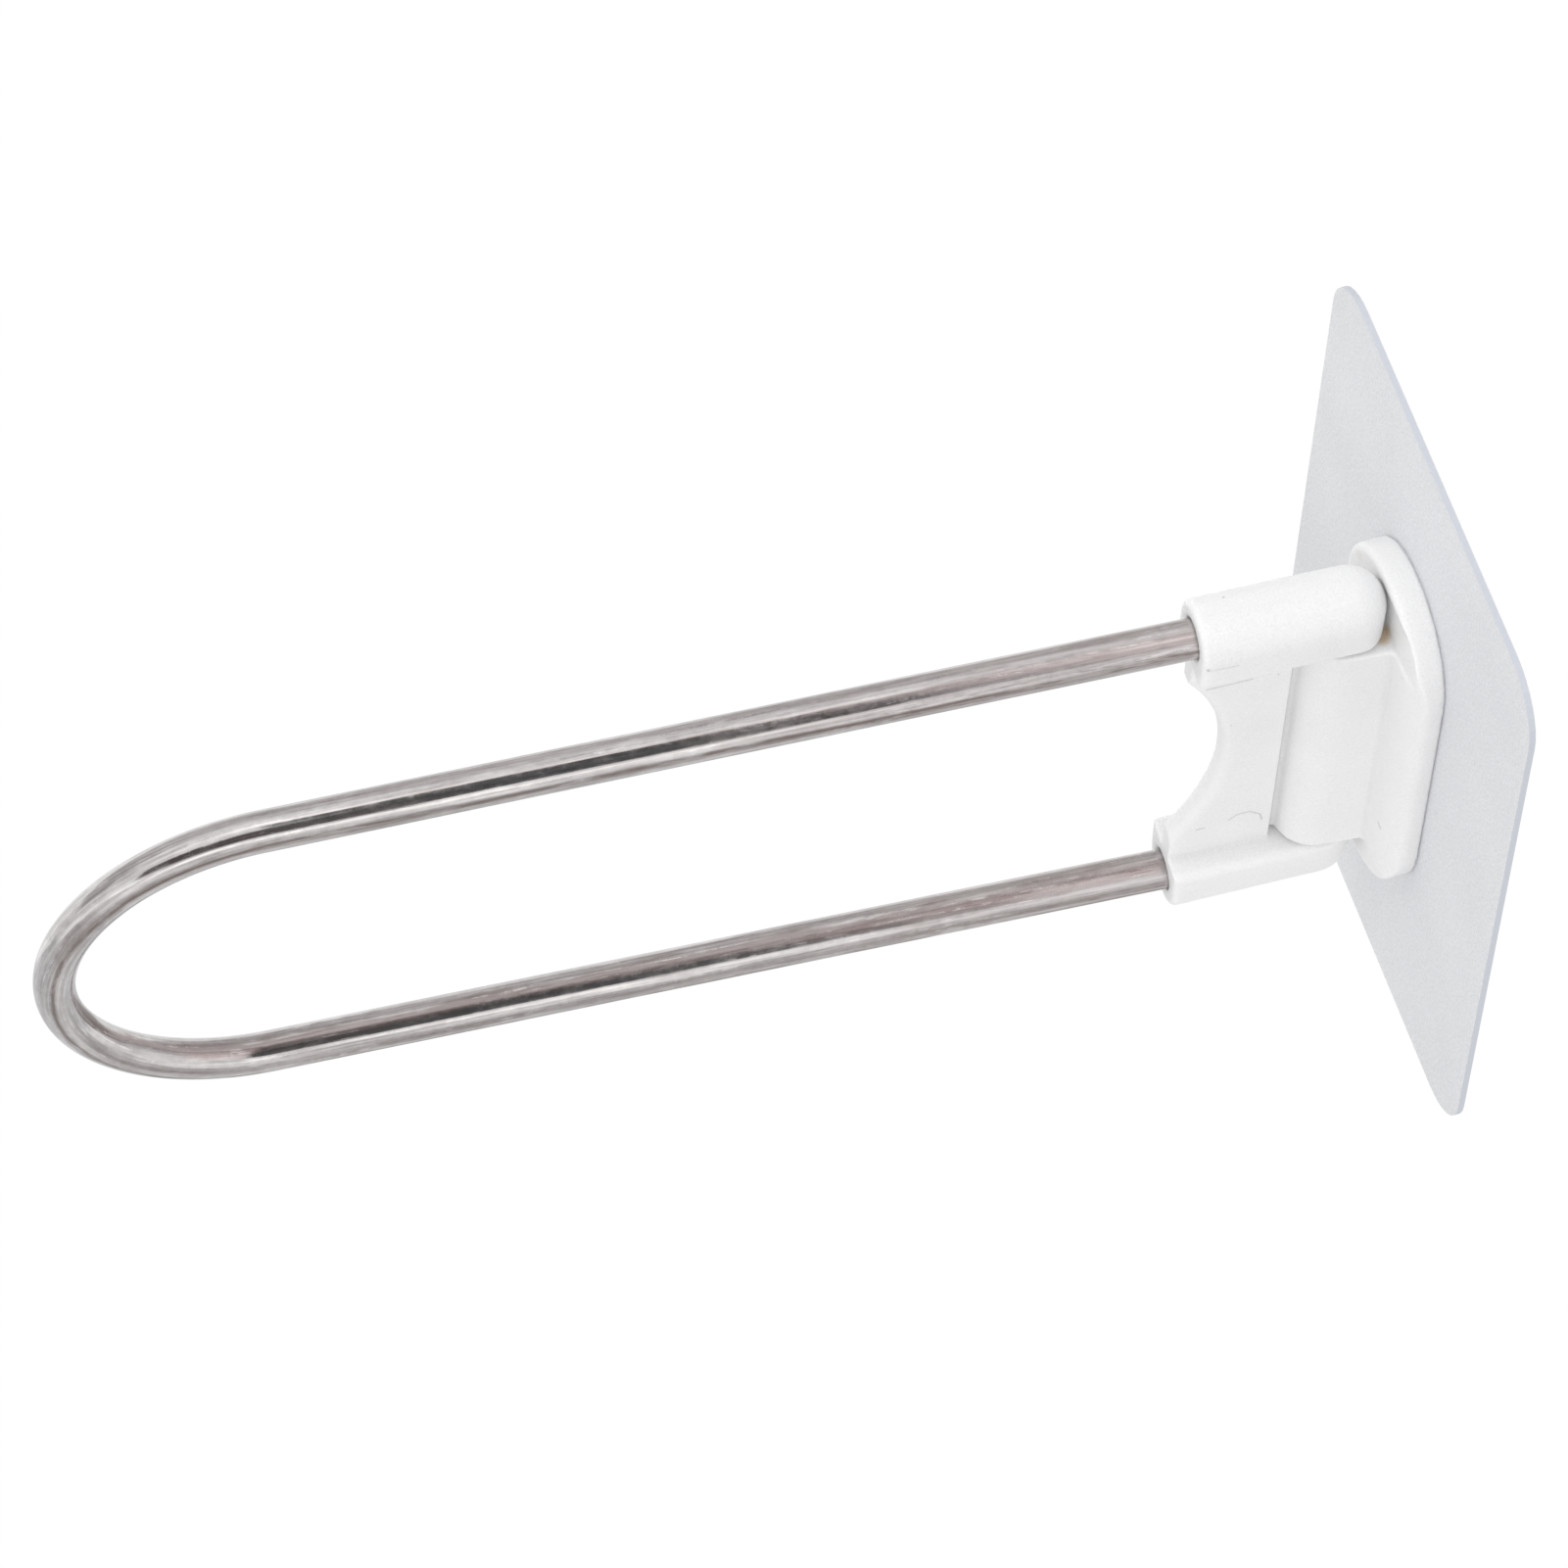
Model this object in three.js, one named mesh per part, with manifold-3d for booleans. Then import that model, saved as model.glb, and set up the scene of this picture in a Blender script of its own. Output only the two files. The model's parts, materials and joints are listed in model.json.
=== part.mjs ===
import * as THREE from 'three';
import { mergeVertices } from 'three/addons/utils/BufferGeometryUtils.js';
import Module from 'manifold-3d';

// A folding clothes valet that sticks to a wall: a sheet with an adhesive back carries a
// moulded base, and a bent rod loop held in a moulded yoke folds up on the base's pin.
// Millimetres. X runs along the hinge, Y into the wall, Z up. The wall plane is Y = 0.

// Wall sheet and the adhesive behind it.
const sheetLength = 100;
const sheetHeight = 65;
const sheetCorner = 8;
const sheetThickness = 0.8;
const adhesiveThickness = 0.4;
const adhesiveInset = 1.5;

// Base moulding: an obround foot bonded to the sheet, a little longer on the side of the
// blind ear, with a broad round shoulder on its upper side, and the knuckle on it.
const bondThickness = 0.2;
const bondInset = 0.3;
const footLength = 57.6;
const footWidth = 23.2;
const footShift = 1.2;
const footThickness = 3.7;
const footEdgeRound = 0.8;
const footRim = 1.5;
const footShoulder = 4.6;
const scoopClearance = 0.28;
const knuckleWidth = 42.7;
const noseRadius = 4.9;
const noseStandoff = 4.9;
const noseDrop = 1.4;
const knuckleFillet = 0.5;
const knuckleDraft = THREE.MathUtils.degToRad(6);
const stopReach = 9.4;
const stopCornerRound = 1.4;
const sillLift = 0.4;
const sillClearance = 0.35;

// Hinge: a plain pin, blind in one ear and pushed in through the other.
const hingeStandoff = 4.5;
const hingeDrop = 1.1;
const pinRadius = 1.5;
const pinRunningClearance = 0.1;
const pinPressClearance = 0.05;
const pinBlindCover = 2.6;
const pinRecess = 0.6;
const pinEndChamfer = 0.3;

// Yoke moulding: two barrels that end as hinge ears, joined by a web.
const barrelRadius = 4.7;
const cheekDepth = 4.6;
const barrelSpread = 0.2;
const barrelReach = 19.05;
const barrelMouthRound = 0.7;
const cheekRoundAbove = 1.2;
const cheekRoundBelow = 0.4;
const earSideClearance = 0.35;
const webAbove = 1.4;
const webBelow = 1.2;
const webRearReach = 6.3;
const webThroatReach = 13.7;
const webThroatRadius = 31;
const webThroatRound = 1.3;
const webFillet = 0.5;
const stopClearance = 0.3;
const yokeDroop = THREE.MathUtils.degToRad(2.3);

// Rod loop: one bent rod, its ends seated in the barrels.
const rodRadius = 2.5;
const bendRadius = 25.73;
const loopReach = 136.7;
const socketDepth = 12.8;
const socketClearance = 0.15;
const socketEndGap = 0.3;
const socketChamfer = 0.2;
const loopDroop = THREE.MathUtils.degToRad(1.5);

// Overrun of every cutter past the face it opens, and the depth that joined forms share.
const overrun = 0.5;
const joinDepth = 0.9;
const weldDistance = 0.00001;

const wasm = await Module();
wasm.setup();

function toSolid(geometry) {
  const bare = geometry.clone();
  bare.deleteAttribute('normal');
  bare.deleteAttribute('uv');
  const merged = mergeVertices(bare, weldDistance);
  const source = merged.index.array;
  const kept = [];
  for (let i = 0; i < source.length; i += 3) {
    const [a, b, c] = [source[i], source[i + 1], source[i + 2]];
    if (a !== b && b !== c && c !== a) {
      kept.push(a, b, c);
    }
  }
  const mesh = new wasm.Mesh({
    numProp: 3,
    vertProperties: Float32Array.from(merged.attributes.position.array),
    triVerts: Uint32Array.from(kept),
  });
  return new wasm.Manifold(mesh);
}

function toGeometry(solid) {
  const mesh = solid.getMesh();
  const geometry = new THREE.BufferGeometry();
  const positions = new THREE.Float32BufferAttribute(mesh.vertProperties, 3);
  geometry.setAttribute('position', positions);
  geometry.setIndex(Array.from(mesh.triVerts));
  geometry.computeVertexNormals();
  return geometry;
}

function joinAll(geometries) {
  const solids = geometries.map((geometry) => toSolid(geometry));
  return solids.reduce((whole, next) => whole.add(next));
}

// Points of an arc, from one angle to another, both ends included.
function arcPoints(x, y, radius, from, to, steps) {
  const points = [];
  for (let i = 0; i <= steps; i += 1) {
    const angle = from + ((to - from) * i) / steps;
    points.push(new THREE.Vector2(x + radius * Math.cos(angle), y + radius * Math.sin(angle)));
  }
  return points;
}

// A rectangle with round corners, centred on the origin. Corners as wide as half the
// height make the obround.
function roundedOutline(length, height, corner, steps) {
  const x = length / 2 - corner;
  const y = height / 2 - corner;
  const quarter = Math.PI / 2;
  return [
    ...arcPoints(x, y, corner, 0, quarter, steps),
    ...arcPoints(-x, y, corner, quarter, Math.PI, steps),
    ...arcPoints(-x, -y, corner, Math.PI, 3 * quarter, steps),
    ...arcPoints(x, -y, corner, 3 * quarter, 4 * quarter, steps),
  ];
}

// Extrusions: a section drawn on one plane and pushed along the third axis.
function extruded(points, depth) {
  return new THREE.ExtrudeGeometry(new THREE.Shape(points), { depth, bevelEnabled: false });
}

// Section in X and Z, pushed out of the wall (-Y) between two standoffs.
function outOfWall(points, from, to) {
  const x = new THREE.Vector3(1, 0, 0);
  const y = new THREE.Vector3(0, 0, 1);
  const z = new THREE.Vector3(0, -1, 0);
  const turn = new THREE.Matrix4().makeBasis(x, y, z);
  return extruded(points, to - from).applyMatrix4(turn).translate(0, -from, 0);
}

// Section in Y and Z, pushed along X between two places.
function alongHinge(points, from, to) {
  const x = new THREE.Vector3(0, 1, 0);
  const y = new THREE.Vector3(0, 0, 1);
  const z = new THREE.Vector3(1, 0, 0);
  const turn = new THREE.Matrix4().makeBasis(x, y, z);
  return extruded(points, to - from).applyMatrix4(turn).translate(from, 0, 0);
}

function rodAlongHinge(radius, from, to, sides) {
  const middle = (from + to) / 2;
  const bar = new THREE.CylinderGeometry(radius, radius, to - from, sides);
  return bar.rotateZ(Math.PI / 2).translate(middle, 0, 0);
}

// A closed skin through rings of equal count, each ring seen anticlockwise from its end.
function loft(rings) {
  const count = rings[0].length;
  const positions = [];
  rings.flat().forEach((point) => positions.push(point.x, point.y, point.z));
  const index = [];
  for (let ring = 0; ring + 1 < rings.length; ring += 1) {
    for (let i = 0; i < count; i += 1) {
      const a = ring * count + i;
      const b = ring * count + ((i + 1) % count);
      index.push(a, b, b + count, a, b + count, a + count);
    }
  }
  const first = rings.length * count;
  const last = first + 1;
  const start = (rings.length - 1) * count;
  [rings[0], rings[rings.length - 1]].forEach((ring) => {
    const sum = ring.reduce((total, point) => total.add(point), new THREE.Vector3());
    const centre = sum.divideScalar(count);
    positions.push(centre.x, centre.y, centre.z);
  });
  for (let i = 0; i < count; i += 1) {
    const next = (i + 1) % count;
    index.push(first, next, i);
    index.push(last, start + i, start + next);
  }
  const geometry = new THREE.BufferGeometry();
  geometry.setAttribute('position', new THREE.Float32BufferAttribute(positions, 3));
  geometry.setIndex(index);
  return geometry;
}

// Standoffs from the wall, from the adhesive out to the hinge.
const sheetFront = adhesiveThickness + sheetThickness;
const footBack = sheetFront + bondThickness;
const footFront = footBack + footThickness;
const hingeOut = footFront + hingeStandoff;
const noseOut = footFront + noseStandoff;

// Adhesive and sheet: flat layers with the same rounded outline, the adhesive set back.
const adhesiveOutline = roundedOutline(
  sheetLength - 2 * adhesiveInset,
  sheetHeight - 2 * adhesiveInset,
  sheetCorner - adhesiveInset,
  8,
);
const adhesiveGeometry = outOfWall(adhesiveOutline, 0, adhesiveThickness);
const sheetOutline = roundedOutline(sheetLength, sheetHeight, sheetCorner, 8);
const sheetGeometry = outOfWall(sheetOutline, adhesiveThickness, sheetFront);

// Bonding layer under the foot, set back from the foot's rim.
const bondLength = footLength - 2 * bondInset;
const bondWidth = footWidth - 2 * bondInset;
const bondOutline = roundedOutline(bondLength, bondWidth, bondWidth / 2, 12);
const bondGeometry = outOfWall(bondOutline, sheetFront, footBack).translate(-footShift, 0, 0);

// Foot: the obround outline carried up to a round front edge, then cut along its upper
// side to a wide oval shoulder above an upright rim.
function footRing(inset, standoff) {
  const length = footLength - 2 * inset;
  const width = footWidth - 2 * inset;
  const outline = roundedOutline(length, width, width / 2, 14);
  return outline.map((point) => new THREE.Vector3(point.x - footShift, -standoff, point.y));
}

const footRings = [footRing(0, footBack)];
const footRoundSteps = 5;
for (let i = 0; i <= footRoundSteps; i += 1) {
  const angle = (Math.PI / 2) * (i / footRoundSteps);
  const inset = footEdgeRound * (1 - Math.cos(angle));
  const rise = footEdgeRound * Math.sin(angle);
  footRings.push(footRing(inset, footFront - footEdgeRound + rise));
}

const shoulderRise = footThickness - footRim;
const shoulderTop = footWidth / 2 - footShoulder;
const shoulderSteps = 9;
const shoulderCut = [
  new THREE.Vector2(-footFront - overrun, shoulderTop),
  new THREE.Vector2(-footFront - overrun, footWidth / 2 + overrun),
  new THREE.Vector2(-footBack - footRim, footWidth / 2 + overrun),
];
for (let i = 0; i <= shoulderSteps; i += 1) {
  const angle = (Math.PI / 2) * (i / shoulderSteps);
  const out = footBack + footRim + shoulderRise * Math.sin(angle);
  const up = shoulderTop + footShoulder * Math.cos(angle);
  shoulderCut.push(new THREE.Vector2(-out, up));
}
const shoulderHalf = footLength / 2 + footShift + overrun;
const footSolid = toSolid(loft(footRings)).subtract(
  toSolid(alongHinge(shoulderCut, -shoulderHalf, shoulderHalf)),
);

// Places in the yoke's turned frame: reach along the arm, lift square to it.
function fromHinge(reach, lift) {
  const out = hingeOut + reach * Math.cos(yokeDroop) - lift * Math.sin(yokeDroop);
  const up = -hingeDrop - reach * Math.sin(yokeDroop) + lift * Math.cos(yokeDroop);
  return new THREE.Vector2(-out, up);
}

// Knuckle: a round nose that the web sweeps over as the arm folds up, a low sill that
// closes the gap behind the web, and under the web a shelf that stops the arm when it is
// down.
const shelfLift = -(webBelow + stopClearance);
const noseCentre = new THREE.Vector2(-noseOut, -noseDrop);
const armDirection = fromHinge(1, 0).sub(fromHinge(0, 0));
const sillStart = fromHinge(0, sillLift).sub(noseCentre);
const alongSill = sillStart.dot(armDirection);
const offNose = sillStart.lengthSq() - noseRadius * noseRadius;
const sillRoot = fromHinge(Math.sqrt(alongSill * alongSill - offNose) - alongSill, sillLift);
const noseEnd = Math.atan2(sillRoot.y - noseCentre.y, sillRoot.x - noseCentre.x);
const sillRadius = webRearReach - sillClearance;
const sillEdge = fromHinge(Math.sqrt(sillRadius * sillRadius - sillLift * sillLift), sillLift);
const shelfReach = Math.sqrt(sillRadius * sillRadius - shelfLift * shelfLift);
const shelfRoot = fromHinge(shelfReach, shelfLift);
const shelfTip = fromHinge(stopReach, shelfLift);
const shelfFoot = new THREE.Vector2(shelfTip.x, -noseDrop - noseRadius);
const noseTurn = noseEnd < 0 ? 2 * Math.PI : 0;
const draftRun = noseStandoff - knuckleFillet * (1 - Math.sin(knuckleDraft));
const faceAbove = noseRadius / Math.cos(knuckleDraft) + draftRun * Math.tan(knuckleDraft);
const filletAbove = faceAbove - noseDrop + knuckleFillet * Math.cos(knuckleDraft);
const filletBelow = -noseRadius - noseDrop - knuckleFillet;
const filletOut = footFront + knuckleFillet;
const knuckleProfile = [
  new THREE.Vector2(-footFront + joinDepth, filletAbove),
  ...arcPoints(-filletOut, filletAbove, knuckleFillet, 0, knuckleDraft - Math.PI / 2, 4),
  ...arcPoints(
    -noseOut,
    -noseDrop,
    noseRadius,
    Math.PI / 2 + knuckleDraft,
    noseEnd + noseTurn,
    18,
  ),
  sillEdge,
  shelfRoot,
  shelfTip,
  ...arcPoints(
    shelfFoot.x + stopCornerRound,
    shelfFoot.y + stopCornerRound,
    stopCornerRound,
    Math.PI,
    1.5 * Math.PI,
    5,
  ),
  ...arcPoints(-filletOut, filletBelow, knuckleFillet, Math.PI / 2, 0, 4),
  new THREE.Vector2(-footFront + joinDepth, filletBelow),
];
const knuckleGeometry = alongHinge(knuckleProfile, -knuckleWidth / 2, knuckleWidth / 2);
const knuckleBore = rodAlongHinge(
  pinRadius + pinRunningClearance,
  -knuckleWidth / 2 - overrun,
  knuckleWidth / 2 + overrun,
  40,
).translate(0, -hingeOut, -hingeDrop);

// Scoops in the foot: one round each ear, and one for the barrel where it lies when the
// arm is folded up, with the same section.
const earInner = knuckleWidth / 2 + earSideClearance;
const barrelHalfSpacing = earInner + cheekDepth;
const scoopRadius = barrelRadius + scoopClearance;
const scoopProfile = [
  new THREE.Vector2(0, knuckleWidth / 2),
  new THREE.Vector2(scoopRadius, knuckleWidth / 2),
  ...arcPoints(0, barrelHalfSpacing, scoopRadius, 0, Math.PI / 2, 10),
];
scoopProfile[scoopProfile.length - 1].x = 0;

function scoopSolid(side) {
  const ear = new THREE.LatheGeometry(scoopProfile, 48);
  ear.rotateZ(-side * (Math.PI / 2));
  const section = scoopProfile.map((point) => new THREE.Vector2(side * point.y, point.x));
  const lane = extruded(section, footWidth / 2 + hingeDrop + overrun);
  const parts = [ear, lane].map((geometry) => geometry.translate(0, -hingeOut, -hingeDrop));
  return joinAll(parts);
}

const baseSolid = footSolid
  .subtract(scoopSolid(1))
  .subtract(scoopSolid(-1))
  .add(toSolid(knuckleGeometry))
  .subtract(toSolid(knuckleBore));

// Barrel, about its own axis: a revolved outer side whose rear end is a ball on the hinge
// line, and inside it a cheek, flat up to the ear's inner face, with rounded corners.
const barrelSplay = Math.atan(barrelSpread / barrelReach);
const mouthHalfSpacing = barrelHalfSpacing + barrelSpread;
const barrelProfile = [
  new THREE.Vector2(0, -barrelReach),
  ...arcPoints(
    barrelRadius - barrelMouthRound,
    -barrelReach + barrelMouthRound,
    barrelMouthRound,
    -Math.PI / 2,
    0,
    4,
  ),
  ...arcPoints(0, 0, barrelRadius, 0, Math.PI / 2, 10),
];
barrelProfile[barrelProfile.length - 1].x = 0;
const cheekProfile = [
  ...arcPoints(0, 0, barrelRadius, -Math.PI / 2, Math.PI / 2, 20),
  ...arcPoints(
    -barrelReach + barrelMouthRound,
    barrelRadius - barrelMouthRound,
    barrelMouthRound,
    Math.PI / 2,
    Math.PI,
    4,
  ),
  ...arcPoints(
    -barrelReach + barrelMouthRound,
    -barrelRadius + barrelMouthRound,
    barrelMouthRound,
    Math.PI,
    1.5 * Math.PI,
    4,
  ),
];

function cheekCorner(way, round, from) {
  const x = cheekDepth - round;
  return arcPoints(x, way * (barrelRadius - round), round, from, from + Math.PI / 2, 5);
}

const cheekSection = [
  new THREE.Vector2(0, -barrelRadius),
  ...cheekCorner(-1, cheekRoundBelow, -Math.PI / 2),
  ...cheekCorner(1, cheekRoundAbove, 0),
  new THREE.Vector2(0, barrelRadius),
];

function barrelSolid(side) {
  const from = side > 0 ? -cheekDepth : 0;
  const to = side > 0 ? 0 : cheekDepth;
  const section = cheekSection.map((point) => new THREE.Vector2(-side * point.x, point.y));
  const shapes = [
    new THREE.LatheGeometry(barrelProfile, 40),
    alongHinge(cheekProfile, from, to),
    outOfWall(section, -barrelRadius - overrun, barrelReach + overrun),
  ];
  const [outer, slab, rail] = shapes.map((geometry) => {
    geometry.rotateZ(side * barrelSplay);
    return toSolid(geometry.translate(side * barrelHalfSpacing, 0, 0));
  });
  return outer.add(slab.intersect(rail));
}

// Web: a straight rear edge just clear of the nose, and a throat cut as a wide arc whose
// upper edge is rounded by a section carried along the same arc.
const throatCentre = webThroatReach + webThroatRadius;
const throatDepth = throatCentre - barrelReach;
const throatHalfAngle = Math.acos(throatDepth / webThroatRadius);
const throatSteps = 28;
const webEdge = earInner + joinDepth;
const webOutline = [
  new THREE.Vector2(-webEdge, -webRearReach),
  new THREE.Vector2(-webEdge, -barrelReach),
  ...arcPoints(
    0,
    -throatCentre,
    webThroatRadius,
    Math.PI / 2 + throatHalfAngle,
    Math.PI / 2 - throatHalfAngle,
    throatSteps,
  ),
  new THREE.Vector2(webEdge, -barrelReach),
  new THREE.Vector2(webEdge, -webRearReach),
];
const webPlate = extruded(webOutline, webAbove + webBelow).translate(0, 0, -webBelow);

const throatRoundX = webThroatRadius + webThroatRound;
const throatRoundY = webAbove - webThroatRound;
const throatCut = [
  ...arcPoints(throatRoundX, throatRoundY, webThroatRound, Math.PI, Math.PI / 2, 5),
  new THREE.Vector2(throatRoundX, webAbove + overrun),
  new THREE.Vector2(webThroatRadius - overrun, webAbove + overrun),
  new THREE.Vector2(webThroatRadius - overrun, throatRoundY),
];
const throatRings = [];
for (let i = -1; i <= throatSteps + 1; i += 1) {
  const angle = throatHalfAngle * ((2 * i) / throatSteps - 1);
  throatRings.push(
    throatCut.map((point) => {
      const x = point.x * Math.sin(angle);
      const y = point.x * Math.cos(angle) - throatCentre;
      return new THREE.Vector3(x, y, point.y);
    }),
  );
}
const webSolid = toSolid(webPlate).subtract(toSolid(loft(throatRings)));

// Fillet strips along both faces of the web, laid along each barrel's own flat cheek.
function filletStrip(side, lift, way) {
  const cheek = side * (earInner - barrelHalfSpacing);
  const corner = new THREE.Vector2(cheek - side * webFillet, lift + way * webFillet);
  const sunk = joinDepth / 2;
  const turn = side * way > 0 ? 1 : -1;
  const from = way > 0 ? -Math.PI / 2 : Math.PI / 2;
  const section = [
    new THREE.Vector2(corner.x, lift - way * sunk),
    ...arcPoints(corner.x, corner.y, webFillet, from, from + (turn * Math.PI) / 2, 5),
    new THREE.Vector2(cheek + side * sunk, lift + way * webFillet),
    new THREE.Vector2(cheek + side * sunk, lift - way * sunk),
  ];
  const strip = outOfWall(section, webRearReach, barrelReach - barrelMouthRound);
  return strip.rotateZ(side * barrelSplay).translate(side * barrelHalfSpacing, 0, 0);
}

const filletGeometries = [
  filletStrip(1, webAbove, 1),
  filletStrip(-1, webAbove, 1),
  filletStrip(1, -webBelow, -1),
  filletStrip(-1, -webBelow, -1),
];

// Sockets: bores along the rod's own legs, chamfered at the mouth.
const legRun = loopReach - bendRadius;
const legDistance = Math.hypot(mouthHalfSpacing, legRun);
const legAim = Math.atan(mouthHalfSpacing / legRun);
const legSplay = legAim - Math.asin(bendRadius / legDistance);
const loopPlace = new THREE.Matrix4().makeRotationX(loopDroop).setPosition(0, -barrelReach, 0);
const socketRadius = rodRadius + socketClearance;
const socketProfile = [
  new THREE.Vector2(0, -overrun),
  new THREE.Vector2(socketRadius + socketChamfer + overrun, -overrun),
  new THREE.Vector2(socketRadius, socketChamfer),
  new THREE.Vector2(socketRadius, socketDepth),
  new THREE.Vector2(0, socketDepth),
];

function socketSolid(side) {
  const cutter = new THREE.LatheGeometry(socketProfile, 32);
  cutter.rotateZ(-side * legSplay);
  cutter.translate(side * mouthHalfSpacing, 0, 0);
  return toSolid(cutter.applyMatrix4(loopPlace));
}

// Pin: its far end is covered by the blind ear, its near end lies just under the other.
const earOuter = barrelHalfSpacing + barrelRadius;
const pinFrom = -(earOuter - pinBlindCover);
const pinTo = earOuter - pinRecess;
const earBore = rodAlongHinge(
  pinRadius + pinPressClearance,
  pinFrom - socketEndGap,
  earOuter + overrun,
  40,
);
const pinProfile = [
  new THREE.Vector2(0, pinFrom),
  new THREE.Vector2(pinRadius - pinEndChamfer, pinFrom),
  new THREE.Vector2(pinRadius, pinFrom + pinEndChamfer),
  new THREE.Vector2(pinRadius, pinTo - pinEndChamfer),
  new THREE.Vector2(pinRadius - pinEndChamfer, pinTo),
  new THREE.Vector2(0, pinTo),
];
const pinGeometry = new THREE.LatheGeometry(pinProfile, 28).rotateZ(-Math.PI / 2);

const yokeSolid = webSolid
  .add(joinAll(filletGeometries))
  .add(barrelSolid(1))
  .add(barrelSolid(-1))
  .subtract(socketSolid(1))
  .subtract(socketSolid(-1))
  .subtract(toSolid(earBore));

// Rod loop: two legs that splay a little towards their ends, and a bend tangent to both.
class LoopBend extends THREE.Curve {
  getPoint(t) {
    const angle = legSplay + (Math.PI - 2 * legSplay) * t;
    const x = bendRadius * Math.cos(angle);
    const y = -legRun - bendRadius * Math.sin(angle);
    return new THREE.Vector3(x, y, 0);
  }
}

const seatDepth = socketDepth - socketEndGap;
const legEnd = mouthHalfSpacing + seatDepth * Math.tan(legSplay);
const bend = new LoopBend();
const loopPath = new THREE.CurvePath();
loopPath.add(new THREE.LineCurve3(new THREE.Vector3(legEnd, seatDepth, 0), bend.getPoint(0)));
loopPath.add(bend);
loopPath.add(new THREE.LineCurve3(bend.getPoint(1), new THREE.Vector3(-legEnd, seatDepth, 0)));
const rodSides = 18;
const rodSection = new THREE.Shape(arcPoints(0, 0, rodRadius, 0, 2 * Math.PI, rodSides).slice(1));
const rodGeometry = new THREE.ExtrudeGeometry(rodSection, {
  steps: 78,
  bevelEnabled: false,
  extrudePath: loopPath,
});

// Materials, in the colours of the real pieces.
const adhesiveGel = new THREE.MeshStandardMaterial({ color: 0xe9ecee, roughness: 0.4 });
const frostedSheet = new THREE.MeshStandardMaterial({ color: 0xe0e1e4, roughness: 0.5 });
const bondTape = new THREE.MeshStandardMaterial({ color: 0xadafb6, roughness: 0.8 });
const whiteMoulding = new THREE.MeshStandardMaterial({ color: 0xf6f6f5, roughness: 0.42 });
const pinSteel = new THREE.MeshStandardMaterial({
  color: 0xb8b8b6,
  roughness: 0.35,
  metalness: 1,
});
const polishedRod = new THREE.MeshStandardMaterial({
  color: 0xc4c1be,
  roughness: 0.16,
  metalness: 1,
});

function piece(name, geometry, material) {
  const mesh = new THREE.Mesh(geometry, material);
  mesh.name = name;
  return mesh;
}

// Assembly: what stays on the wall, and the arm turned about the hinge with its loop.
const valet = new THREE.Group();
valet.add(piece('wall_adhesive', adhesiveGeometry, adhesiveGel));
valet.add(piece('wall_sheet', sheetGeometry, frostedSheet));
valet.add(piece('foot_bond', bondGeometry, bondTape));
valet.add(piece('base', toGeometry(baseSolid), whiteMoulding));

const arm = new THREE.Group();
arm.position.set(0, -hingeOut, -hingeDrop);
arm.rotation.x = yokeDroop;
arm.add(piece('yoke', toGeometry(yokeSolid), whiteMoulding));
arm.add(piece('hinge_pin', pinGeometry, pinSteel));

const loop = new THREE.Group();
loop.position.set(0, -barrelReach, 0);
loop.rotation.x = loopDroop;
loop.add(piece('rod_loop', rodGeometry, polishedRod));
arm.add(loop);
valet.add(arm);

export default valet;
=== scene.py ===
import json
import math
import bpy
from mathutils import Matrix, Vector


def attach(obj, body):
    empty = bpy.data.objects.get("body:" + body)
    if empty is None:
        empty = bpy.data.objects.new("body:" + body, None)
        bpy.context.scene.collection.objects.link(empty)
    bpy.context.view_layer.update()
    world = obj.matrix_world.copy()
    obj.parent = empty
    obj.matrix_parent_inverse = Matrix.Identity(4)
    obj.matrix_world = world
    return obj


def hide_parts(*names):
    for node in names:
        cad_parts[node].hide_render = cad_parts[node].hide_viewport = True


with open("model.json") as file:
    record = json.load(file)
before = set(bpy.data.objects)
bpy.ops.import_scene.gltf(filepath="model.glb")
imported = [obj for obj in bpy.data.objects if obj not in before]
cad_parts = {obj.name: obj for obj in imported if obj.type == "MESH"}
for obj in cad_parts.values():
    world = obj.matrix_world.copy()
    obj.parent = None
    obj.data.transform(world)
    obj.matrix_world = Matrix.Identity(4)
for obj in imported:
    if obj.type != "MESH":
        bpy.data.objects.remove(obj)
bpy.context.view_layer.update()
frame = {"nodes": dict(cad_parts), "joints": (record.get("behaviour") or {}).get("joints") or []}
nodes = frame["nodes"]


# Camera: a long lens, rolled so that the arm reaches to the left and its upper side
# turns towards the bottom of the picture.
def into_scene(made):
    """Link a new object to the scene."""
    bpy.context.scene.collection.objects.link(made)


MM = 0.001
camera_place = Vector((-885.17, -265.32, 487.0)) * MM
camera_right = Vector((-0.0288, 0.9497, 0.3117)).normalized()
camera_up = Vector((-0.5159, 0.2530, -0.8184)).normalized()
camera_back = camera_right.cross(camera_up).normalized()
camera_up = camera_back.cross(camera_right).normalized()
camera_lens = bpy.data.cameras.new("camera")
camera_lens.lens = 199.3
camera_lens.sensor_width = 36.0
camera_lens.clip_start = 0.01
camera_lens.clip_end = 20.0
camera = bpy.data.objects.new("camera", camera_lens)
camera_turn = Matrix((camera_right, camera_up, camera_back)).transposed().to_4x4()
camera.matrix_world = Matrix.Translation(camera_place) @ camera_turn
into_scene(camera)
bpy.context.scene.camera = camera
bpy.context.scene.view_settings.view_transform = "Standard"


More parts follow.
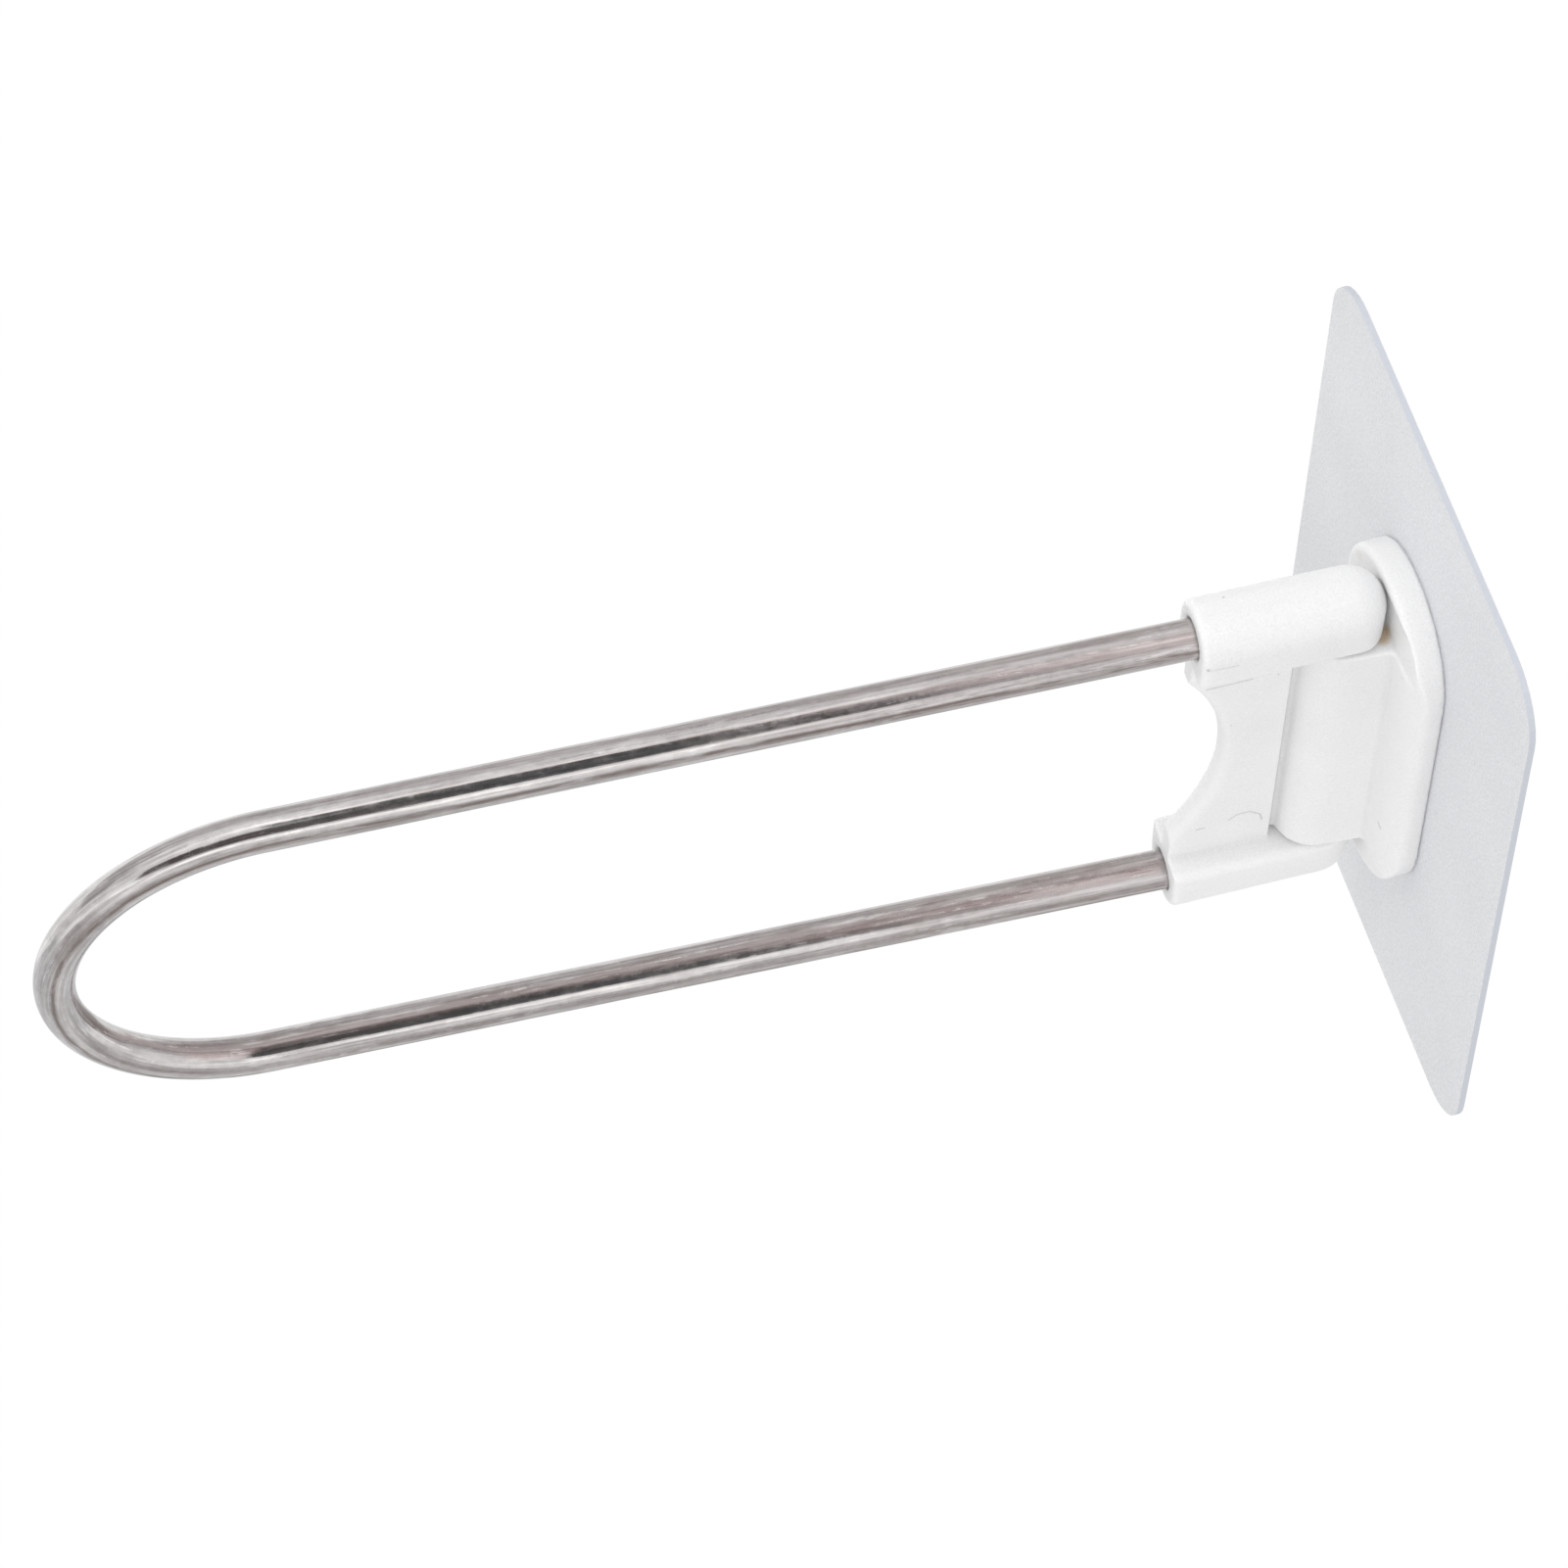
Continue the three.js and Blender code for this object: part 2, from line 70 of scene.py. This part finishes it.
# Studio: white all round for the camera and for polished metal, and an even, slightly
# softer white on everything else, with two large soft lamps.
class Wire:
    """An output of a node tree. Sums and products of wires add the Math nodes."""

    def __init__(self, tree, socket=None):
        self.tree = tree
        self.socket = socket

    def node(self, kind, settings=None, inputs=None, out=0):
        """Add a node: its settings first, then the values or wires of its inputs."""
        made = self.tree.nodes.new("ShaderNode" + kind)
        for name, value in (settings or {}).items():
            setattr(made, name, value)
        for name, value in (inputs or {}).items():
            self.plug(made.inputs[name], value)
        return Wire(self.tree, made.outputs[out])

    def plug(self, socket, value):
        if isinstance(value, Wire):
            self.tree.links.new(value.socket, socket)
        else:
            socket.default_value = value

    def show(self, kind="Material"):
        """Lead this wire to the surface of the material or the world."""
        end = self.tree.nodes.new("ShaderNodeOutput" + kind)
        self.tree.links.new(self.socket, end.inputs["Surface"])

    def maths(self, operation, first, second=0.0):
        return self.node("Math", {"operation": operation}, {0: first, 1: second})

    def __add__(self, other):
        return self.maths("ADD", self, other)

    def __sub__(self, other):
        return self.maths("SUBTRACT", self, other)

    def __rsub__(self, other):
        return self.maths("SUBTRACT", other, self)

    def __mul__(self, other):
        return self.maths("MULTIPLY", self, other)

    def __truediv__(self, other):
        return self.maths("DIVIDE", self, other)

    def __abs__(self):
        return self.maths("ABSOLUTE", self)

    __radd__ = __add__
    __rmul__ = __mul__


def bare_tree(owner):
    """A wire on the emptied node tree of a material or the world."""
    owner.use_nodes = True
    owner.node_tree.nodes.clear()
    return Wire(owner.node_tree)


def seen_by(wire, kind):
    """1 for rays of one kind, such as Camera, and 0 for the others."""
    return wire.node("LightPath", out="Is " + kind + " Ray")


def mirrored(wire):
    """1 for rays that a mirror or clear plastic sends on, and 0 for the others."""
    return wire.maths("MAXIMUM", seen_by(wire, "Glossy"), seen_by(wire, "Transmission"))


world = bpy.data.worlds.new("studio")
bpy.context.scene.world = world
sky = bare_tree(world)
fill = sky.node("Background", None, {"Color": (1, 1, 1, 1), "Strength": 0.905})
white = sky.node("Background", None, {"Color": (1, 1, 1, 1), "Strength": 1.0})
seen_white = sky.maths("MAXIMUM", seen_by(sky, "Camera"), mirrored(sky))
sky.node("MixShader", None, {0: seen_white, 1: fill, 2: white}).show("World")


def lamp(name, place, aim, size, power):
    """A round soft lamp that the polished metal doesn't mirror."""
    data = bpy.data.lights.new(name, "AREA")
    data.shape = "DISK"
    data.size = size
    data.energy = power
    made = bpy.data.objects.new(name, data)
    made.location = place
    made.rotation_mode = "QUATERNION"
    made.rotation_quaternion = (Vector(aim) - Vector(place)).to_track_quat("-Z", "Y")
    made.visible_glossy = False
    into_scene(made)


lamp("key_lamp", place=(-0.95, -0.35, -0.05), aim=(0, -0.05, 0), size=0.5, power=2.15)
lamp("top_lamp", place=(-0.25, -0.30, 0.95), aim=(0, -0.08, 0), size=0.6, power=0.8)


# Cards: flat panels set round the arm, parallel to the rod, that only the polished metal
# mirrors. They draw the dark and pale bands along it, as cards do for metal in a studio.
def panel(name, half=1.0, height=0.0):
    """One flat square face, as an object and a wire on its material's empty tree."""
    corners = [(x * half, y * half, height) for x, y in ((-1, -1), (1, -1), (1, 1), (-1, 1))]
    mesh = bpy.data.meshes.new(name)
    mesh.from_pydata(corners, [], [(0, 1, 2, 3)])
    material = bpy.data.materials.new(name)
    mesh.materials.append(material)
    made = bpy.data.objects.new(name, mesh)
    into_scene(made)
    return made, bare_tree(material)


def fade(wire, value, width):
    """1 in the middle of a card, falling to 0 over this share of its half width."""
    inputs = {"Value": abs(value), "From Min": 1 - width, "From Max": 1.0, "To Min": 1.0, "To Max": 0.0}
    return wire.node("MapRange", {"interpolation_type": "SMOOTHSTEP"}, inputs)


def card(name, angles, distance, reach, shade, soft, skew=0.0):
    """A panel between two angles about Y, from +X over the top, and two places along Y.

    Soft gives the fade across and along, and skew slants the fade along."""
    rod_height = -5 * MM
    turns = [math.radians(angle) for angle in angles]
    first, last = [Vector((math.cos(turn), 0, math.sin(turn))) * distance for turn in turns]
    across = (last - first) / 2
    along = Vector((0, (reach[1] - reach[0]) / 2, 0))
    facing = across.cross(along).normalized()
    middle = (first + last) / 2 + Vector((0, (reach[0] + reach[1]) / 2, rod_height))
    made, paint = panel(name)
    made.matrix_world = Matrix.Translation(middle) @ Matrix((across, along, facing)).transposed().to_4x4()
    place = paint.node("TexCoord", out="Object")
    x, y = [paint.node("SeparateXYZ", None, {"Vector": place}, axis) for axis in "XY"]
    mask = fade(paint, x, soft[0]) * fade(paint, y + x * skew, soft[1])
    glow = paint.node("Emission", None, {"Color": (*shade, 1), "Strength": 1.0})
    clear = paint.node("BsdfTransparent")
    paint.node("MixShader", None, {0: mask, 1: clear, 2: glow}).show()
    for kind in ("camera", "diffuse", "shadow", "transmission"):
        setattr(made, "visible_" + kind, False)


card("dark_card", (126.5, 177), 0.60, (-0.11, 0.025), (0.110, 0.112, 0.113), (0.06, 0.14), 0.2)
card("dark_tail", (126.5, 160), 0.605, (-0.90, -0.07), (0.130, 0.116, 0.114), (0.10, 0.04))
card("warm_card", (128, 183), 0.66, (-0.10, 0.60), (1.12, 1.03, 1.02), (0.25, 0.08))
card("bright_edge", (179, 190), 0.60, (-0.90, 0.03), (1.40, 1.39, 1.38), (0.30, 0.25))
card("bright_strip", (103, 122), 0.60, (-1.30, 0.0), (1.40, 1.39, 1.37), (0.60, 0.02))
card("upper_card", (18, 92), 0.62, (-1.60, 0.35), (0.56, 0.54, 0.535), (0.80, 0.35))
card("lower_card", (212, 312), 0.60, (-1.60, 0.60), (0.63, 0.615, 0.61), (0.50, 0.10))
card("far_card", (-42, 34), 0.70, (-1.60, 0.60), (0.73, 0.735, 0.74), (0.30, 0.10))
card("side_card", (-40, 8), 0.60, (0.10, 1.20), (0.44, 0.42, 0.41), (0.30, 0.10))

# Floor: a wide pale sheet well under the object. The camera and the metal see it white,
# and it keeps the object's own shadow.
floor_half, floor_drop = 6.0, 0.40
camera_white, mirror_white = 0.93, 0.90
floor, pale = panel("floor", floor_half, -floor_drop)
whiteness = seen_by(pale, "Camera") * camera_white + mirrored(pale) * mirror_white
matt = pale.node("BsdfDiffuse", None, {"Color": (0.88, 0.88, 0.88, 1)})
glow = pale.node("Emission", None, {"Strength": 1.02})
pale.node("MixShader", None, {0: whiteness, 1: matt, 2: glow}).show()


# Adhesive: a clear sticky gel layer on the sheet's back, a little smaller than the
# sheet, pressed flat with a fine mottled face.
def finish(name, colour, roughness, **settings):
    """A material with one Principled shader: the material, the shader and its wire."""
    material = bpy.data.materials.new(name)
    material.use_nodes = True
    shader = material.node_tree.nodes["Principled BSDF"]
    shader.inputs["Base Color"].default_value = (*colour, 1)
    shader.inputs["Roughness"].default_value = roughness
    for key, value in settings.items():
        shader.inputs[key].default_value = value
    return material, shader, Wire(material.node_tree)


def grain(wire, scale, detail=3.0, rough=0.5, place=None):
    """Noise with this many grains to the metre."""
    place = place or wire.node("TexCoord", out="Object")
    inputs = {"Scale": scale, "Detail": detail, "Roughness": rough, "Vector": place}
    return wire.node("TexNoise", None, inputs)


def tint(wire, amount, first, second):
    """A colour or a wire of colours, turned towards a second colour by an amount."""
    first = first if isinstance(first, Wire) else (*first, 1)
    inputs = {"Factor": amount, "A": first, "B": (*second, 1)}
    return wire.node("Mix", {"data_type": "RGBA"}, inputs, "Result")


def span(wire, value, low, high, to_low=0.0, to_high=1.0):
    """A value between low and high, drawn out to another span and held at its ends."""
    inputs = {"Value": value, "From Min": low, "From Max": high, "To Min": to_low, "To Max": to_high}
    return wire.node("MapRange", None, inputs)


def relief(wire, height, distance, strength):
    """A bump whose full height stands out by this distance in metres."""
    return wire.node("Bump", None, {"Strength": strength, "Distance": distance, "Height": height})


def wear(piece, material):
    """Give a piece one material in place of those it has."""
    piece.data.materials.clear()
    piece.data.materials.append(material)


gel_dark, gel_pale = (0.77, 0.79, 0.82), (0.84, 0.855, 0.88)
gel, gel_shader, gel_wire = finish("adhesive_gel", (0.80, 0.82, 0.85), 0.32, **{"Coat Weight": 0.3})
mottle = grain(gel_wire, 900.0, 2.0)
gel_colour = tint(gel_wire, span(gel_wire, mottle, 0.35, 0.65), gel_dark, gel_pale)
gel_wire.plug(gel_shader.inputs["Base Color"], gel_colour)
gel_wire.plug(gel_shader.inputs["Normal"], relief(gel_wire, mottle, 0.2 * MM, 0.3))
wear(nodes["wall_adhesive"], gel)

# Sheet: thin frosted plastic cut with round corners, held by the adhesive. Its face has a
# fine even grain, and its cut edge shows a little blue.
frost_dark, frost_pale = (0.675, 0.682, 0.705), (0.835, 0.841, 0.862)
frost_edge = (0.575, 0.60, 0.655)
frost, frost_shader, frost_wire = finish("frosted_sheet", (0.74, 0.75, 0.77), 0.5)
speckle = grain(frost_wire, 3200.0, 2.0, 0.7)
drift = grain(frost_wire, 28.0, 2.0)
frost_mix = span(frost_wire, speckle * 0.75 + drift * 0.25, 0.38, 0.62)
face_colour = tint(frost_wire, frost_mix, frost_dark, frost_pale)
face_way = frost_wire.node("NewGeometry", out="Normal")
facing_wall = abs(frost_wire.node("SeparateXYZ", None, {"Vector": face_way}, "Y"))
cut_edge = span(frost_wire, facing_wall, 0.9, 0.5)
frost_wire.plug(frost_shader.inputs["Base Color"], tint(frost_wire, cut_edge, face_colour, frost_edge))
frost_wire.plug(frost_shader.inputs["Roughness"], span(frost_wire, speckle, 0.3, 0.7, 0.42, 0.60))
frost_wire.plug(frost_shader.inputs["Normal"], relief(frost_wire, speckle, 0.1 * MM, 0.35))
wear(nodes["wall_sheet"], frost)

# Bond: the thin grey bonding tape that holds the foot to the sheet, cut a little smaller
# than the foot, so that only a fine line shows under the foot's edge.
bond_dark, bond_pale = (0.55, 0.56, 0.60), (0.68, 0.69, 0.73)
bond, bond_shader, bond_wire = finish("bond_tape", (0.60, 0.61, 0.65), 0.8)
foam = grain(bond_wire, 1200.0, 2.0)
bond_colour = tint(bond_wire, span(bond_wire, foam, 0.3, 0.7), bond_dark, bond_pale)
bond_wire.plug(bond_shader.inputs["Base Color"], bond_colour)
wear(nodes["foot_bond"], bond)


# Base: one white injection moulding with its knuckle, bonded by its foot. Its edges are
# softened as a mould leaves them, and its skin has a fine satin grain.
def moulded(name, pitch):
    """Soften a moulding's edges by about one pitch, without a change to its mesh."""
    skin = nodes[name].modifiers.new("skin", "REMESH")
    skin.mode = "VOXEL"
    skin.voxel_size = pitch
    skin.use_smooth_shade = True
    soft = nodes[name].modifiers.new("soft", "SMOOTH")
    soft.factor = 0.5
    soft.iterations = 4


def vector_maths(wire, operation, inputs, out=0):
    """Maths on whole places and directions."""
    return wire.node("VectorMath", {"operation": operation}, inputs, out)


def stroke(wire, points, width):
    """A mask, 1 along a fine line through the points and 0 beyond its width, in mm."""
    place = wire.node("TexCoord", out="Object")
    mask = None
    for first, last in zip(points, points[1:] or points):
        start, run = Vector(first) * MM, (Vector(last) - Vector(first)) * MM
        offset = vector_maths(wire, "SUBTRACT", {0: place, 1: start})
        if run.length > 0:
            way = run / run.length_squared
            travel = vector_maths(wire, "DOT_PRODUCT", {0: offset, 1: way}, "Value")
            travel = wire.node("Clamp", None, {"Value": travel})
            step = vector_maths(wire, "SCALE", {0: run, "Scale": travel})
            offset = vector_maths(wire, "SUBTRACT", {0: offset, 1: step})
        away = vector_maths(wire, "LENGTH", {0: offset}, "Value")
        line = span(wire, away, width * MM, 0.3 * width * MM)
        mask = line if mask is None else wire.maths("MAXIMUM", mask, line)
    return mask


plastic_dark, plastic_pale = (0.828, 0.828, 0.828), (0.919, 0.919, 0.919)
mould_line = (0.30, 0.29, 0.29)
# Painted warm shade: a brown tint for the shaded gap behind the ear.
painted_gap_shade = (0.62, 0.47, 0.30)
# Painted warm shade: a pale warm tint for a shaded spot on the foot's near end.
painted_warm_shade = (0.80, 0.70, 0.62)


def white_plastic(name, marks):
    """White moulded plastic. A mark has its points, width, strength and colour."""
    inner_light = {
        "Subsurface Weight": 1.0,
        "Subsurface Radius": (1.0, 1.0, 1.0),
        "Subsurface Scale": 0.8 * MM,
    }
    material, shader, wire = finish(name, (0.87, 0.87, 0.87), 0.42, **inner_light)
    skin = grain(wire, 3600.0, 3.0, 0.6)
    cloud = grain(wire, 60.0, 2.0)
    clouded = span(wire, cloud * 0.3 + skin * 0.7, 0.36, 0.64)
    colour = tint(wire, clouded, plastic_dark, plastic_pale)
    dents = skin * 0.04
    for points, width, strength, mark_colour in marks:
        mask = stroke(wire, points, width) * strength
        colour = tint(wire, mask, colour, mark_colour)
        if mark_colour == mould_line:
            dents = dents - mask
    wire.plug(shader.inputs["Base Color"], colour)
    wire.plug(shader.inputs["Roughness"], span(wire, cloud, 0.3, 0.7, 0.38, 0.48))
    wire.plug(shader.inputs["Normal"], relief(wire, dents, 0.06 * MM, 0.8))
    return material


gate_dash = [(12.5, -5.1, 7.2), (12.8, -5.05, 7.95)]
flow_line = [(-20.1, -5.1, 6.7), (-21.0, -4.95, 7.9), (-21.2, -4.7, 8.7)]
scoop_corner = [(-21.35, -5.2, 1.0), (-21.35, -5.7, 1.8)]
near_end = [(-23.6, -5.1, -8.6), (-24.2, -5.1, -8.2)]
base_marks = (
    (gate_dash, 0.16, 0.8, mould_line),
    (flow_line, 0.12, 0.18, mould_line),
    # Painted warm shade in the gap behind the ear and on the foot's near end.
    (scoop_corner, 1.2, 0.8, painted_gap_shade),
    (near_end, 1.0, 0.35, painted_warm_shade),
)
moulded("base", pitch=0.20 * MM)
wear(nodes["base"], white_plastic("white_base_plastic", base_marks))

# Yoke: the second white moulding, a web between two barrels, turning on the base's pin.
# It keeps the fine marks of its mould, such as an ejector's arc and a gate's dash.
ejector_arc = [
    (15.79, -21.42, -0.17), (14.86, -20.37, -0.13), (14.86, -18.75, -0.07),
    (16.0, -17.40, -0.01), (17.44, -17.06, 0.0),
]
yoke_dash = [(16.36, -25.48, -0.34), (16.32, -24.49, -0.30)]
barrel_line = [(-26.27, -28.35, 2.78), (-26.12, -24.58, 3.0)]
web_line = [(-16.38, -26.59, -0.39), (-16.54, -20.85, -0.15)]
specks = (
    ((-26.51, -28.25, 2.83), 0.32, 0.55),
    ((-30.64, -24.31, -3.83), 0.24, 0.55),
    ((-6.83, -22.78, -0.23), 0.22, 0.35),
    ((-16.21, -17.67, -0.02), 0.18, 0.5),
)
yoke_marks = [
    (ejector_arc, 0.15, 0.45, mould_line),
    (yoke_dash, 0.13, 0.6, mould_line),
    (barrel_line, 0.14, 0.35, mould_line),
    (web_line, 0.14, 0.5, mould_line),
]
yoke_marks += [([place], width, strength, mould_line) for place, width, strength in specks]
moulded("yoke", pitch=0.16 * MM)
wear(nodes["yoke"], white_plastic("white_yoke_plastic", yoke_marks))

# Hinge pin: plain ground steel, pushed in through one ear and seen only at that end.
# Its end face is turned, with a fine uneven sheen.
pin, pin_shader, pin_wire = finish("pin_steel", (0.55, 0.54, 0.53), 0.3, Metallic=1.0)
turned = grain(pin_wire, 2500.0, 2.0)
pin_wire.plug(pin_shader.inputs["Roughness"], span(pin_wire, turned, 0.3, 0.7, 0.22, 0.38))
wear(nodes["hinge_pin"], pin)

# Rod loop: one 5 mm polished steel rod, bent round, its ends glued in the barrels. It
# shows fine lines along its length from drawing and a dark line on top painted as reflection.
rod_radius = 2.5 * MM
bend_radius = 25.73 * MM
loop_reach = 136.7 * MM
seat_depth = 12.5 * MM
mouth_half = 26.5 * MM
barrel_reach = 19.05 * MM
barrel_droop, rod_droop = math.radians(2.3), math.radians(1.5)
leg_run = loop_reach - bend_radius
splay = math.atan(mouth_half / leg_run) - math.asin(bend_radius / math.hypot(mouth_half, leg_run))
end_half = mouth_half + seat_depth * math.tan(splay)

hinge = frame["joints"][0]["pos_m"]
to_arm = Matrix.Translation(hinge) @ Matrix.Rotation(barrel_droop, 4, "X")
to_mouth = Matrix.Translation((0, -barrel_reach, 0)) @ Matrix.Rotation(rod_droop, 4, "X")
to_loop = to_arm @ to_mouth


def rod_path(leg_steps=110, bend_steps=96):
    """Places on the rod's centre line with the outward side of each, from one end."""
    bend_centre = Vector((0, -leg_run, 0))
    outward = Vector((math.cos(splay), -math.sin(splay), 0))
    leg_end = Vector((end_half, seat_depth, 0))
    leg_foot = outward * bend_radius + bend_centre
    leg = [(leg_end.lerp(leg_foot, k / leg_steps), outward) for k in range(leg_steps)]
    bend = []
    for k in range(bend_steps + 1):
        angle = splay + (math.pi - 2 * splay) * k / bend_steps
        outward = Vector((math.cos(angle), -math.sin(angle), 0))
        bend.append((outward * bend_radius + bend_centre, outward))
    flip = Vector((-1, 1, 1))
    other_leg = [(place * flip, outward * flip) for place, outward in leg]
    return leg + bend + other_leg[::-1]


def rod_tube(name, sides=48, chamfer=0.3 * MM):
    """The rod along its path, with its straight length kept for the drawn lines."""
    path = rod_path()
    for end, inner, slot in ((0, 1, 1), (-1, -2, -1)):
        run = path[inner][0] - path[end][0]
        path.insert(slot, (path[end][0] + run.normalized() * chamfer, path[end][1]))
    verts, faces, straight, travel = [], [], [], 0.0
    for k, (place, outward) in enumerate(path):
        travel += (place - path[k - 1][0]).length if k else 0.0
        radius = rod_radius - (chamfer if k in (0, len(path) - 1) else 0.0)
        for s in range(sides):
            angle = 2 * math.pi * s / sides
            out, up = radius * math.cos(angle), radius * math.sin(angle)
            verts.append(to_loop @ (place + outward * out + Vector((0, 0, up))))
            straight.extend((out, up, travel))
            if k:
                low, high, t = (k - 1) * sides, k * sides, (s + 1) % sides
                faces.append((low + s, low + t, high + t, high + s))
    faces.append(tuple(range(sides))[::-1])
    faces.append(tuple(range(len(verts) - sides, len(verts))))
    mesh = bpy.data.meshes.new(name)
    mesh.from_pydata(verts, [], faces)
    mesh.attributes.new("straight", "FLOAT_VECTOR", "POINT").data.foreach_set("vector", straight)
    mesh.polygons.foreach_set("use_smooth", [len(face) == 4 for face in faces])
    made = bpy.data.objects.new(name, mesh)
    into_scene(made)
    return made


rod = rod_tube("polished_loop")
steel, steel_shader, steel_wire = finish("polished_rod", (0.60, 0.577, 0.575), 0.13, Metallic=1.0)
along = steel_wire.node("Attribute", {"attribute_name": "straight"}, out="Vector")


def streaks(scale, stretch, detail=3.0, rough=0.6):
    """Grain drawn out along the rod: the smaller the stretch, the longer the streaks."""
    drawn = vector_maths(steel_wire, "MULTIPLY", {0: along, 1: (1.0, 1.0, stretch)})
    return grain(steel_wire, scale, detail, rough, drawn)


def part_of(axis):
    """Across the rod outwards, X, or up, Y, or the way along it, Z."""
    return steel_wire.node("SeparateXYZ", None, {"Vector": along}, axis)


def near(value, middle, reach, edge):
    """A mask, 1 close to a middle value and 0 beyond its reach, with a soft edge."""
    return span(steel_wire, abs(value - middle), reach, reach - edge)


def over(colour, amount, second):
    """A colour of the steel with a second one laid over it by an amount."""
    return tint(steel_wire, amount, colour, second)


hair = streaks(2800.0, 0.022, 3.0, 0.7)
fine = streaks(1400.0, 0.03)
broad = streaks(600.0, 0.04, 2.0)
smudge = streaks(260.0, 0.3, 3.0)
fog = streaks(1100.0, 0.5, 3.0, 0.7)
side_place = part_of("X") / rod_radius
top_place = part_of("Y") / rod_radius
travel = part_of("Z")
mouth_run = leg_run + bend_radius * math.pi / 2
bend_middle = seat_depth + mouth_run

# The rod's tone: thin dark and pale lines from drawing, smudges, and a brown stain, partly painted
# dark reflection, that runs along the inner side of one leg into the bend.
drawn_dark, drawn_pale = (0.41, 0.388, 0.387), (0.79, 0.767, 0.765)
smudge_brown, stain_reflection_brown = (0.44, 0.395, 0.39), (0.30, 0.245, 0.24)
stain_reflection_end, stain_reflection_fade = bend_middle + 4 * MM, 18 * MM
drawn_tone = span(steel_wire, hair * 0.4 + fine * 0.4 + fog * 0.2, 0.40, 0.60)
steel_colour = tint(steel_wire, drawn_tone, drawn_dark, drawn_pale)
steel_colour = over(steel_colour, span(steel_wire, smudge, 0.45, 0.75, 0.0, 0.45), smudge_brown)
stain_reflection_wander = span(steel_wire, smudge, 0.3, 0.7, -0.2, 0.2)
# A brown stain, darkened further as painted dark reflection, on the inner side of one leg.
stain_and_reflection = near(top_place + stain_reflection_wander, middle=0.16, reach=0.36, edge=0.22)
stain_and_reflection = stain_and_reflection * span(steel_wire, side_place, -0.70, -0.92)
stain_and_reflection = stain_and_reflection * span(steel_wire, travel, stain_reflection_end, stain_reflection_end - stain_reflection_fade)
# Lay the stain and its painted dark reflection over the steel.
steel_colour = over(steel_colour, stain_and_reflection * 0.75, stain_reflection_brown)

# The rod's wear and painted light: a broken brown line on top painted as dark reflection,
# scratches painted as pale glints, short dark drag marks beside them, and duller metal near
# the mouths from handling.
handled_brown, drag_brown, reflection_line_brown = (0.55, 0.49, 0.485), (0.28, 0.22, 0.21), (0.22, 0.17, 0.15)
glint_white = (0.86, 0.85, 0.84)
handled_far, handled_near = 60 * MM, 20 * MM
on_top = span(steel_wire, top_place, 0.0, 0.5)
wander = span(steel_wire, streaks(160.0, 0.5, 2.0), 0.3, 0.7, -0.07, 0.07)
# A broken brown line on top, painted dark reflection; it is also rougher and slightly sunken.
reflection_line = near(side_place - wander, middle=0.26, reach=0.14, edge=0.10) * on_top
reflection_line = reflection_line * span(steel_wire, streaks(900.0, 0.15, 3.0), 0.38, 0.52)
# Scratch lines painted as pale glints, with a little relief.
scratch_glint = span(steel_wire, streaks(2600.0, 0.04, 3.0), 0.56, 0.64)
scratch_glint = scratch_glint * span(steel_wire, fog, 0.45, 0.60)
from_middle = abs(travel - bend_middle)
handled = span(steel_wire, from_middle, mouth_run - handled_far, mouth_run - handled_near)
dulled = handled * span(steel_wire, fog, 0.35, 0.65, 0.1, 0.45)
top_side = near(side_place, middle=0.25, reach=0.55, edge=0.30) * on_top
rubbed = stain_and_reflection * 0.55 + top_side * (handled * 0.4 + 0.15) + handled * 0.12 + 0.12
drag = span(steel_wire, streaks(2200.0, 0.10, 5.0, 0.7), 0.54, 0.62) * rubbed
steel_colour = over(steel_colour, dulled, handled_brown)
steel_colour = over(steel_colour, drag * 0.8, drag_brown)
# Painted glints on the pale scratch lines.
steel_colour = over(steel_colour, scratch_glint * 0.6, glint_white)
# The painted dark reflection line on top.
steel_colour = over(steel_colour, reflection_line * 0.7, reflection_line_brown)
roughness = span(steel_wire, broad, 0.35, 0.65, 0.09, 0.15) + reflection_line * 0.2
roughness = roughness + span(steel_wire, fog * 0.5 + smudge * 0.5, 0.45, 0.65, 0.0, 0.10)
roughness = roughness + stain_and_reflection * 0.08 + handled * 0.05
dents = fine * 0.5 + broad + scratch_glint * 0.3 - reflection_line * 0.5
steel_wire.plug(steel_shader.inputs["Base Color"], steel_colour)
steel_wire.plug(steel_shader.inputs["Roughness"], roughness)
steel_wire.plug(steel_shader.inputs["Normal"], relief(steel_wire, dents, 0.02 * MM, 0.5))
wear(rod, steel)
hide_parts("rod_loop")
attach(rod, "arm")
